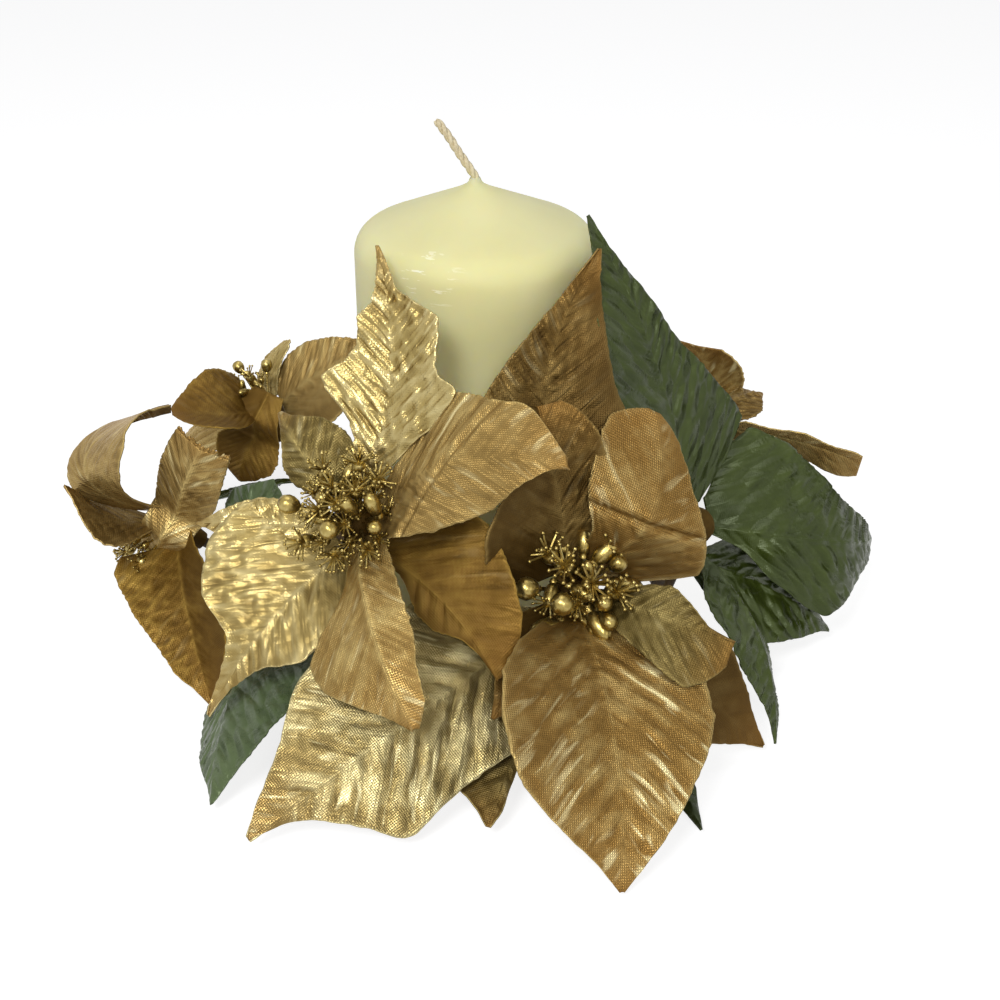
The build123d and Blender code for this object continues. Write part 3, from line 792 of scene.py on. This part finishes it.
bract(9, (2, 88, 5), 32, 0, 2, roll=26, drop=17, cut=LOBED, finish="khaki", quilt=1.1, side_veins=8,
      shine=(0.5, 0.5, 0.5))
print("front right flower: 9 bracts")

# %% [markdown]
# ## The flowers at the left, behind and at the right
# These are seen edge on or from below, so they show more of the dull reverse and of the painted shade
# in the folds. The left flower has two strips with frayed ends, one of them curled over.

# %% Left and back left bracts
bract = flower("left", 30)
bract(1, (-92, 69, 72), 34, 27, 4, roll=22, cut=RIBBON, finish="tan", quilt=0.1, crumple=0.15, arch=0.62,
      fray=1.0)
bract(2, (-69, 52, 77), 34, 4, -10, roll=50, cut=STRIP, finish="tan", quilt=0.1, crumple=0.15, fray=1.2,
      hood=15)
bract(3, (-52, 66, 2), 42, 3, 26, roll=-50, cut=FUNNEL, finish="amber", shine=(0.05, 0.6, 1), quilt=0.3)
bract(4, (-79, 95, 59), 32, 4, 8, finish="tan")
bract(5, (-107, 80, 10), 40, 8, -8, drop=5, finish="lame")
bract = flower("back_left", 40)
bract(1, (-110, 78, 55), 30, 6, 14, roll=-62, sway=-9, cut=CUPPED, finish="amber", shine=(0.3, 0.3, 0.9))
bract(2, (-117, 61, 25), 38, 4, -4, roll=-75, cut=TONGUE, finish="amber", shine=(0.6, 0.5, 0.3), hood=14)
bract(3, (-150, 33, 73), 38, 4, 8, roll=55, cut=SADDLE, finish="tan", shine=(0.9, 0.7, 0.1))
bract(4, (-139, 74, 62), 34, finish="foil")
bract(5, (-127, 115, 10), 46, 10, drop=5, finish="lame")
bract(6, (-147, 103, 8), 44, 10, drop=5, finish="foil")
print("left and back left flowers: 11 bracts")

# %% Back and back right bracts
bract = flower("back", 50)
bract(1, (174, 3, 128), 46, 3, 10, cut=STAR, finish="foil", crumple=0.7)
bract(2, (-156, 59, 80), 38, finish="tan")
bract(3, (-161, 96, 24), 38, 10, drop=6, finish="foil")
bract(4, (180, 108, 20), 48, 12, finish="lame")
bract(5, (160, 99, 22), 38, 10, drop=6, finish="foil")
bract(6, (152, 60, 80), 38, finish="lame")
bract = flower("back_right", 60)
bract(1, (126, 94, 45), 24, 4, roll=45, finish="brown")
bract(2, (108, 108, 32), 34, 3, cut=FLARED, finish="lame", back="lame", quilt=0.2, crumple=0.15)
bract(3, (129, 64, 70), 34, 4, 8, cut=BLUNT_END, finish="bronze", back="bronze", quilt=0.3)
bract(4, (133, 116, 8), 40, 6, drop=6, finish="lame")
bract(5, (155, 95, 6), 40, 6, drop=9, finish="foil")
print("back and back right flowers: 11 bracts")

# %% [markdown]
# ## Green leaves
# A spray of large leaves leans on the candle at the right and hangs over the edge; small ones show
# between the bracts.

# %% Leaves
def leaf(name, *place, **shape):
    values = dict(cut=LEAF, finish="green", back="under", slot="green_cloth", quilt=1.1, side_veins=12,
                  crumple=0.45, ruffle=0.5, jag=0.12)
    values.update(shape)
    cloth_piece(name, *place, **values)


leaf("right_spray_leaf_1", "right_spray", (58, 2, 146), 52, 6, 4, roll=-22, cut=WING, side_veins=15,
     seed=71, columns=56, rows=110)
leaf("right_spray_leaf_2", "right_spray", (97, 100, 18), 44, 20, -12, roll=10, sway=6, cut=DRAPED,
     quilt=1.3, seed=72, columns=56, rows=110)
leaf("right_spray_leaf_3", "right_spray", (78, 82, 5), 40, 5, -12, drop=12, seed=73)
leaf("right_spray_leaf_4", "right_spray", (47, 86, 3), 28, 8, -20, drop=4, seed=74)
leaf("left_spray_leaf_1", "left_spray", (-33, 98, 3), 42, 6, -12, cut=SIDELONG, finish="painted_sheen", seed=75)
leaf("left_spray_leaf_2", "left_spray", (-67, 39, 62), 34, 4, -8, cut=BLUNT_END, finish="painted_sheen", seed=76)
UNDER = (("front_right", (27, 102, 3), 24, dict(bulge=1, roll=-14, sway=-5, drop=21, finish="under")),
         ("back_left", (-106, 98, 4), 26, dict(drop=29)),
         ("back", (-179, 113, 4), 30, dict(bulge=4, drop=13)),
         ("back_right", (111, 114, 5), 32, dict(bulge=4, drop=13.5)))
for number, (head, tip, width, shape) in enumerate(UNDER):
    leaf(f"under_leaf_{number + 1}", head, tip, width, seed=80 + number, nodes="under_leaves", **shape)
print("leaves: 6 and", len(UNDER))

# %% [markdown]
# ## The candle
# A poured pillar: straight wall, rounded shoulder, shallow cone up to the wick, and a dent in the foot
# for the metal tab. It is a turned form, so one ring of points is extruded upwards from station to
# station and resized at each, as on a lathe.

# %% Turning helper
def turned_piece(name, stations, segments, shade_angle=40):
    """Extrudes one ring through rows of (radius, height) in millimetres; both ends are closed."""
    bpy.ops.object.select_all(action="DESELECT")
    first, base = stations[0]
    bpy.ops.mesh.primitive_circle_add(vertices=segments, radius=first * MM, location=(0, 0, base * MM))
    piece = bpy.context.object
    piece.name = name
    bpy.ops.object.transform_apply(location=True, rotation=True, scale=True)
    bpy.ops.object.mode_set(mode="EDIT")
    bpy.ops.mesh.select_all(action="SELECT")
    for (near, low), (far, high) in zip(stations, stations[1:]):
        bpy.ops.mesh.extrude_region_move(TRANSFORM_OT_translate={"value": (0, 0, (high - low) * MM)})
        bpy.ops.transform.resize(value=(far / near, far / near, 1))
    bpy.ops.mesh.select_all(action="DESELECT")
    bpy.ops.mesh.select_non_manifold()
    bpy.ops.mesh.fill_holes(sides=0)
    bpy.ops.mesh.select_all(action="SELECT")
    bpy.ops.mesh.normals_make_consistent(inside=False)
    bpy.ops.object.mode_set(mode="OBJECT")
    bpy.ops.object.shade_smooth_by_angle(angle=math.radians(shade_angle))
    return piece


print("turning helper ready")

# %% Wax finish
SCUFF_PLACE = (-0.014, -0.0335, 0.1310)
wax, tree, shader = new_material("ivory_wax")
place = node(tree, "ShaderNodeTexCoord").outputs["Object"]
cloudy = noise(tree, place, 22.0, 3.0, 0.55)
colour = ramp(tree, cloudy, ((0.30, (0.70, 0.665, 0.335)), (0.70, (0.76, 0.73, 0.41))))
streaks = noise(tree, stretched(tree, place, (130.0, 130.0, 900.0)), 1.0, 3.0, 0.7)
spot = node(tree, "ShaderNodeVectorMath", operation="DISTANCE")
feed(tree, place, spot.inputs[0])
spot.inputs[1].default_value = SCUFF_PLACE
near = map_range(tree, spot.outputs["Value"], 0.004, 0.013, 1.0, 0.0)
scuffed = calc(tree, "MULTIPLY", calc(tree, "GREATER_THAN", streaks, 0.63), near)
colour = blend_colour(tree, scuffed, colour, (0.88, 0.86, 0.66))
feed(tree, colour, shader.inputs["Base Color"])
shader.inputs["Subsurface Weight"].default_value = 0.8
shader.inputs["Subsurface Radius"].default_value = (1.0, 0.8, 0.4)
shader.inputs["Subsurface Scale"].default_value = 0.016
shader.inputs["Specular IOR Level"].default_value = 0.22
rough = calc(tree, "ADD", 0.48, calc(tree, "MULTIPLY", noise(tree, place, 60.0, 3.0), 0.16))
feed(tree, rough, shader.inputs["Roughness"])
feed(tree, bump(tree, noise(tree, place, 35.0, 2.0), 0.08, 0.002), shader.inputs["Normal"])
print("wax finish ready")

# %% Candle body
CANDLE_HEIGHT = 150
CONE_SLOPE = 0.4133
SHOULDER_RADIUS = 9
SHOULDER_HEIGHT = 128.48
SHOULDER_SWEEP = 67.54
SHOULDER_STEPS = 12
stations = [(3.0, 5.9), (3.0, 0.6), (10.3, 0.6), (10.3, 0.05), (36.4, 0.05), (37.1, 0.3)]
stations += [(CANDLE_RADIUS, height) for height in (1.0, 15, 30, 45, 60, 75, 90, 105, 118)]
for step in range(SHOULDER_STEPS + 1):
    turn = math.radians(SHOULDER_SWEEP * step / SHOULDER_STEPS)
    radius = CANDLE_RADIUS - SHOULDER_RADIUS + SHOULDER_RADIUS * math.cos(turn)
    stations.append((radius, SHOULDER_HEIGHT + SHOULDER_RADIUS * math.sin(turn)))
stations += [(radius, CANDLE_HEIGHT - CONE_SLOPE * radius) for radius in (28, 23, 18, 13, 9, 6)]
stations += [(4.2, 148.45), (2.9, 149.1), (2.1, 149.9), (1.75, 150.8), (1.45, 151.3)]
candle = turned_piece("candle_body", stations, 128)
candle.data.materials.append(wax)
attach(candle, "candle")
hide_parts("candle_wax")
print("candle:", len(candle.data.polygons), "faces")

# %% [markdown]
# ## The wick
# Braided cotton, three strands twisted together. Its line is one smooth curve; the strands are read off
# along it and wound round each other, then thickened and joined.

# %% Cotton finish
cotton, tree, shader = new_material("wick_cotton")
place = node(tree, "ShaderNodeTexCoord").outputs["Object"]
fibre = noise(tree, place, 900.0, 3.0, 0.6)
colour = ramp(tree, fibre, ((0.3, (0.50, 0.40, 0.23)), (0.7, (0.74, 0.66, 0.46))))
climb = node(tree, "ShaderNodeSeparateXYZ")
feed(tree, place, climb.inputs[0])
waxed = map_range(tree, climb.outputs["Z"], 0.150, 0.156, 0.8, 0.0)
colour = blend_colour(tree, waxed, colour, (0.62, 0.56, 0.33))
feed(tree, colour, shader.inputs["Base Color"])
shader.inputs["Roughness"].default_value = 0.75
feed(tree, bump(tree, fibre, 0.5, 0.0004), shader.inputs["Normal"])
print("cotton finish ready")

# %% Lines and tubes
def nurbs_line(name, points, steps):
    """A curve with one NURBS spline that starts and ends on its outer control points."""
    line = bpy.data.curves.new(name, "CURVE")
    line.dimensions = "3D"
    line.resolution_u = steps
    spline = line.splines.new("NURBS")
    spline.points.add(len(points) - 1)
    for target, point in zip(spline.points, points):
        target.co = (*point, 1)
    spline.order_u = 3
    spline.use_endpoint_u = True
    return line, spline


def smooth_line(points):
    """Points read from a smooth line through control points in millimetres."""
    line, _ = nurbs_line("line", points, 12)
    holder = bpy.data.objects.new("line", line)
    mesh = bpy.data.meshes.new_from_object(holder)
    found = [vertex.co.copy() for vertex in mesh.vertices]
    bpy.data.objects.remove(holder)
    bpy.data.meshes.remove(mesh)
    return found


def tube(name, points, radius, sides=3, end_share=1.0):
    """A round tube of a radius in millimetres along points in millimetres, as a mesh."""
    line, spline = nurbs_line(name, [Vector(point) * MM for point in points], 3)
    line.bevel_depth = radius * MM
    line.bevel_resolution = sides
    line.use_fill_caps = True
    spline.points[-1].radius = end_share
    piece = bpy.data.objects.new(name, line)
    scene.collection.objects.link(piece)
    bpy.ops.object.select_all(action="DESELECT")
    piece.select_set(True)
    bpy.context.view_layer.objects.active = piece
    bpy.ops.object.convert(target="MESH")
    return bpy.context.object


def joined(name, pieces):
    """Several meshes as one piece."""
    bpy.ops.object.select_all(action="DESELECT")
    for piece in pieces:
        piece.select_set(True)
    bpy.context.view_layer.objects.active = pieces[0]
    bpy.ops.object.join()
    whole = bpy.context.object
    whole.name = name
    bpy.ops.object.shade_smooth()
    return whole


print("line and tube helpers ready")

# %% Wick
WICK_LEAN = 34
WICK_BEND = 151.5
STRANDS = 3
STRAND_RADIUS = 0.74
STRAND_OFFSET = 0.62
STRAND_END = 0.45
TWIST_LENGTH = 9.0
lean = math.radians(WICK_LEAN)
bend = Vector((0, 0, WICK_BEND))
along = Vector((-math.sin(lean), 0, math.cos(lean)))
inside = [(0, 0, height) for height in (0.3, 60, 120, 146, 150)]
sag = Vector((0.3, 0, 0.2))
outside = [bend, bend + along * 3, bend + along * 10, bend + along * 15 + sag, bend + along * 20.6]
route = smooth_line(inside + outside)
strands = []
for number in range(STRANDS):
    points = []
    travelled = 0.0
    for at, point in enumerate(route):
        if at:
            travelled += (point - route[at - 1]).length
        ahead = (route[min(at + 1, len(route) - 1)] - route[max(at - 1, 0)]).normalized()
        sideways = ahead.cross(Vector((0, 1, 0))).normalized()
        other = ahead.cross(sideways)
        turn = FULL_TURN * (number / STRANDS + travelled / TWIST_LENGTH)
        points.append(point + (sideways * math.cos(turn) + other * math.sin(turn)) * STRAND_OFFSET)
    strands.append(tube(f"strand_{number}", points, STRAND_RADIUS, 3, STRAND_END))
wick = joined("twisted_wick", strands)
wick.data.materials.append(cotton)
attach(wick, "candle")
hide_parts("wick")
print("wick:", len(wick.data.polygons), "faces")

# %% [markdown]
# ## Pips
# The gold middle of a flower is a bunch of painted buds on wires: long beads with a collar, round
# berries, and burst stamens like little stars. Each kind is modelled once, standing on its stalk, and
# copied round the flower's axis, each copy with its own mesh.

# %% Gold paint
paint, tree, shader = new_material("gold_paint")
place = node(tree, "ShaderNodeTexCoord").outputs["Object"]
wear_and_painted_highlight = noise(tree, place, 420.0, 3.0, 0.6)
golds = ((0.28, (0.17, 0.115, 0.025)), (0.52, (0.36, 0.27, 0.085)), (0.75, (0.52, 0.42, 0.17)))
colour = ramp(tree, wear_and_painted_highlight, golds)
feed(tree, colour, shader.inputs["Base Color"])
shader.inputs["Metallic"].default_value = 0.95
rough = calc(tree, "ADD", 0.18, calc(tree, "MULTIPLY", noise(tree, place, 700.0, 2.0), 0.22))
feed(tree, rough, shader.inputs["Roughness"])
feed(tree, bump(tree, wear_and_painted_highlight, 0.25, 0.0003), shader.inputs["Normal"])
print("gold paint ready")

# %% Buds
# Radius and height of each bud's stations in millimetres, from the stalk's foot up; stamens finish the burst.
STALK_LENGTH = 14
BUDS = {
    "bead": ((0.45, -STALK_LENGTH), (0.45, -8.6), (1.15, -8.4), (1.3, -7.6), (1.0, -7.0), (1.45, -6.5),
             (1.9, -5.2), (2.05, -3.4), (1.85, -1.6), (1.25, -0.5), (0.5, 0)),
    "berry": ((0.45, -STALK_LENGTH), (0.45, -6.6), (0.9, -6.4), (0.8, -5.6), (1.6, -5.0), (2.3, -3.6),
              (2.5, -2.3), (2.1, -0.9), (1.2, -0.15), (0.4, 0)),
    "burst": ((0.45, -STALK_LENGTH), (0.45, -8.0), (1.0, -7.4), (1.7, -6.2), (1.9, -5.2), (1.5, -4.4),
              (0.5, -4.2)),
}
STAMENS = 13
STAMEN_LENGTH = 4.6
STAMEN_FOOT = Vector((0, 0, -4.6))
STAMEN_SPREADS = (0.5, 0.85, 1.15)


def add_stamens():
    """Little rods with a bead on the outer end, in the mesh that is open in edit mode."""
    for number in range(STAMENS):
        turn = FULL_TURN * number / STAMENS * 2
        spread = STAMEN_SPREADS[number % 3]
        level = math.sin(spread)
        outward = Vector((math.cos(turn) * level, math.sin(turn) * level, math.cos(spread)))
        middle = STAMEN_FOOT + outward * (STAMEN_LENGTH / 2)
        aim = outward.to_track_quat("Z", "Y").to_euler()
        bpy.ops.mesh.primitive_cone_add(vertices=5, radius1=0.30, radius2=0.22, depth=STAMEN_LENGTH,
                                        location=middle, rotation=aim)
        bpy.ops.transform.resize(value=(MM, MM, MM), center_override=(0, 0, 0))
        bpy.ops.mesh.primitive_ico_sphere_add(subdivisions=1, radius=0.50,
                                              location=STAMEN_FOOT + outward * STAMEN_LENGTH)
        bpy.ops.transform.resize(value=(MM, MM, MM), center_override=(0, 0, 0))


def bud(kind):
    """One pip, with its tip end at z = 0 and its stalk running down."""
    piece = turned_piece("bud_" + kind, BUDS[kind], 12, 50)
    if kind == "burst":
        bpy.ops.object.mode_set(mode="EDIT")
        add_stamens()
        bpy.ops.object.mode_set(mode="OBJECT")
        bpy.ops.object.shade_smooth_by_angle(angle=math.radians(50))
    piece.data.materials.append(paint)
    return piece


models = {kind: bud(kind) for kind in BUDS}
print("buds:", {kind: len(model.data.polygons) for kind, model in models.items()})

# %% Pip bunches
# Each ring of a bunch: count, tilt from the flower's axis in degrees, and reach in millimetres.
FULL_BUNCH = ((1, 0, 24), (5, 21, 22), (8, 43, 24))
CLOSE_BUNCH = ((1, 0, 26), (5, 24, 25), (8, 46, 25))
SMALL_BUNCH = ((1, 0, 21), (5, 24, 20))
SPRAY = ("burst", "burst", "berry", "burst", "bead", "burst", "burst")
BEADED = ("bead", "bead", "burst", "bead", "berry", "burst", "bead")
# Each flower: rings, turn and lift of its axis, seed, swelling, layers, and the order of the buds.
BUNCHES = {
    "front_left": (FULL_BUNCH, 6, 8, 1, 1.15, 3, SPRAY),
    "front_right": (CLOSE_BUNCH, 0, 0, 2, 1.4, 2, BEADED),
    "left": (SMALL_BUNCH, 0, -30, 3, 1.0, 2, SPRAY),
    "back_left": (SMALL_BUNCH, -12, 14, 4, 0.85, 2, BEADED),
    "back": (FULL_BUNCH, 0, 0, 5, 1.0, 3, BEADED),
    "back_right": (SMALL_BUNCH, 50, -21, 6, 1.0, 2, BEADED),
}
SMALLER = 0.75
CUP_DEPTH = 3.5
# Heights on a bud in metres: where a bead nods, and the limits of the stalk's foot and of the head.
NECK = 0.0086
FOOT_LIMIT = -0.0139
HEAD_LIMIT = -0.0085


def pip_spots(rings, swell, layers):
    """Round angle, tilt, reach and size of each pip: the solid model's, and smaller ones between."""
    spots = []
    for count, tilt, reach in rings:
        for step in range(count):
            spots.append((360 * step / count, tilt * 1.1, reach, swell))
            if count > 1:
                spots.append((360 * (step + 0.5) / count, tilt * 0.9, reach - 4.0, SMALLER * swell))
            if count > 5 and layers > 2:
                spots.append((360 * (step + 0.3) / count, tilt * 1.35, reach - 6.0, SMALLER * swell))
    return spots


def pip_bunch(head, rings, turn, lift, seed, swell, layers, order):
    """All pips of one flower, each with its stalk drawn out to the cup; beads nod to one side."""
    dice = np.random.default_rng(seed)
    axis = facing(HEADS[head][3] + turn, HEADS[head][4] + lift)
    stand = axis.to_track_quat("Z", "Y").to_matrix().to_4x4()
    copies = []
    for number, (round_angle, tilt, reach, size) in enumerate(pip_spots(rings, swell, layers)):
        kind = order[(number + seed) % len(order)]
        tilt = tilt + dice.uniform(-3, 3)
        spin = stand @ Matrix.Rotation(math.radians(round_angle + dice.uniform(-8, 8)), 4, "Z")
        spin = spin @ Matrix.Rotation(math.radians(tilt), 4, "X")
        outwards = Matrix.Translation((0, 0, (reach + dice.uniform(-1, 1)) * MM))
        spin = Matrix.Translation(hub_of(head) * MM) @ spin @ outwards
        spin = spin @ Matrix.Diagonal((size, size, size, 1))
        spin = spin @ Matrix.Rotation(dice.uniform(0, FULL_TURN), 4, "Z")
        nod = Matrix.Rotation(math.radians(dice.uniform(35, 75) if kind == "bead" else 0), 4, "X")
        nod = Matrix.Translation((0, 0, -NECK)) @ nod @ Matrix.Translation((0, 0, NECK))
        copy = bpy.data.objects.new("pip", models[kind].data.copy())
        for vertex in copy.data.vertices:
            if vertex.co.z < FOOT_LIMIT:
                vertex.co.z = -max((reach - CUP_DEPTH) / size, STALK_LENGTH) * MM
            elif vertex.co.z > HEAD_LIMIT:
                vertex.co = nod @ vertex.co
        copy.data.transform(spin)
        scene.collection.objects.link(copy)
        copies.append(copy)
    bunch = joined(head + "_pip_bunch", copies)
    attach(bunch, "ring")
    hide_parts(head + "_pips")
    return bunch


for head, plan in BUNCHES.items():
    bunch = pip_bunch(head, *plan)
    print(bunch.name, len(bunch.data.polygons), "faces")
for model in models.values():
    bpy.data.objects.remove(model)

# %% [markdown]
# ## Hoop, stems, calyxes and ties
# What carries the flowers hardly shows: a wire hoop wound with brown paper tape, taped stems that lie on
# it and rise to the heads, and moulded brown cups. The hoop is a torus with a strip wound round it, the
# stems are tubes along smooth lines, and the cup is turned. The ties and the metal tab keep the solid
# model's shape and only get new finishes.

# %% Tape and plastic
def taped(name, dark, light, pitch):
    made, tree, shader = new_material(name)
    place = node(tree, "ShaderNodeTexCoord").outputs["Object"]
    crepe = noise(tree, place, 350.0, 3.0, 0.6)
    wound = wave(tree, place, pitch, "DIAGONAL", 2.0, 1.5)
    level = calc(tree, "ADD", calc(tree, "MULTIPLY", crepe, 0.6), calc(tree, "MULTIPLY", wound, 0.4))
    feed(tree, ramp(tree, level, ((0.25, dark), (0.75, light))), shader.inputs["Base Color"])
    shader.inputs["Roughness"].default_value = 0.72
    feed(tree, bump(tree, level, 0.6, 0.0006), shader.inputs["Normal"])
    return made


tape = taped("brown_tape", (0.030, 0.016, 0.006), (0.13, 0.075, 0.030), 0.006)
cup_plastic = taped("green_plastic", (0.040, 0.021, 0.003), (0.115, 0.064, 0.011), 0.02)
pressed = taped("tab_metal", (0.32, 0.32, 0.32), (0.55, 0.55, 0.54), 0.01)
pressed.node_tree.nodes["Principled BSDF"].inputs["Metallic"].default_value = 1.0
cup_plastic.node_tree.nodes["Principled BSDF"].inputs["Specular IOR Level"].default_value = 0.12
print("tape, cup and tab finishes ready")

# %% Hoop
HOOP_HEIGHT = 4.6
CORE_RADIUS = 3.4
STRIP_RADIUS = 1.15
STRIP_OFFSET = 2.75
STRIP_TURNS = 70
STEPS_A_TURN = 9
bpy.ops.object.select_all(action="DESELECT")
bpy.ops.mesh.primitive_torus_add(major_segments=160, minor_segments=20, major_radius=HOOP_RADIUS * MM,
                                 minor_radius=CORE_RADIUS * MM, location=(0, 0, HOOP_HEIGHT * MM))
core = bpy.context.object
bpy.ops.object.transform_apply(location=True, rotation=True, scale=True)
winding = []
for step in range(STRIP_TURNS * STEPS_A_TURN + 1):
    turn = 360 * step / (STRIP_TURNS * STEPS_A_TURN)
    wrap = FULL_TURN * step / STEPS_A_TURN
    radius = HOOP_RADIUS + STRIP_OFFSET * math.cos(wrap)
    winding.append(ring_point(turn, radius, HOOP_HEIGHT + STRIP_OFFSET * math.sin(wrap)))
hoop = joined("taped_hoop", [core, tube("winding", winding, STRIP_RADIUS, 2)])
hoop.data.materials.append(tape)
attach(hoop, "ring")
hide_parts("ring_hoop")
print("hoop:", len(hoop.data.polygons), "faces")

# %% Stems and cups
STEM_RADIUS = 1.65
STEM_LAP = 20
STEM_TOP_GAP = 1.2
BEND_OUTER = 6
BEND_INNER = 2.5
CUP_ROWS = ((2.2, -CUP_LENGTH), (2.9, -CUP_LENGTH), (3.6, -8), (4.6, -5), (5.6, -2), (6.0, 0), (5.9, 1.5),
            (5.2, 3.0), (4.0, 4.5), (2.4, 5.6), (0.8, 5.9))
stems = []
cups = []
cup = turned_piece("cup", CUP_ROWS, 20, 60)
cup.data.materials.append(cup_plastic)
for head in HEADS:
    bearing = HEADS[head][0]
    rise = rise_of(head)
    foot = ring_point(bearing - STEM_LEAD, HOOP_RADIUS, STEM_HEIGHT)
    start = ring_point(bearing - STEM_LAP, HOOP_RADIUS, STEM_HEIGHT)
    top = hub_of(head) - rise * STEM_TOP_GAP
    back = (start - foot).normalized()
    line = [start, foot + back * BEND_OUTER, foot + back * BEND_INNER]
    line += [foot + rise * BEND_INNER, foot + rise * BEND_OUTER, top]
    stems.append(tube("stem", line, STEM_RADIUS, 4))
    copy = bpy.data.objects.new("cup", cup.data.copy())
    stand = rise.to_track_quat("Z", "Y").to_matrix().to_4x4()
    copy.data.transform(Matrix.Translation(hub_of(head) * MM) @ stand)
    scene.collection.objects.link(copy)
    cups.append(copy)
bpy.data.objects.remove(cup)
stem_set = joined("taped_stems", stems)
stem_set.data.materials.append(tape)
cup_set = joined("calyx_cups", cups)
for piece, held, kind in ((stem_set, "stems", "brown_tape"), (cup_set, "calyxes", "green_plastic")):
    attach(piece, "ring")
    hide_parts(held)
print("stems:", len(stem_set.data.polygons), "cups:", len(cup_set.data.polygons), "faces")

# %% Ties and tab
for name, finish in (("stem_bindings", tape), ("wick_tab", pressed)):
    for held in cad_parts[name].material_slots:
        held.material = finish
    print(name, "has the finish", finish.name)
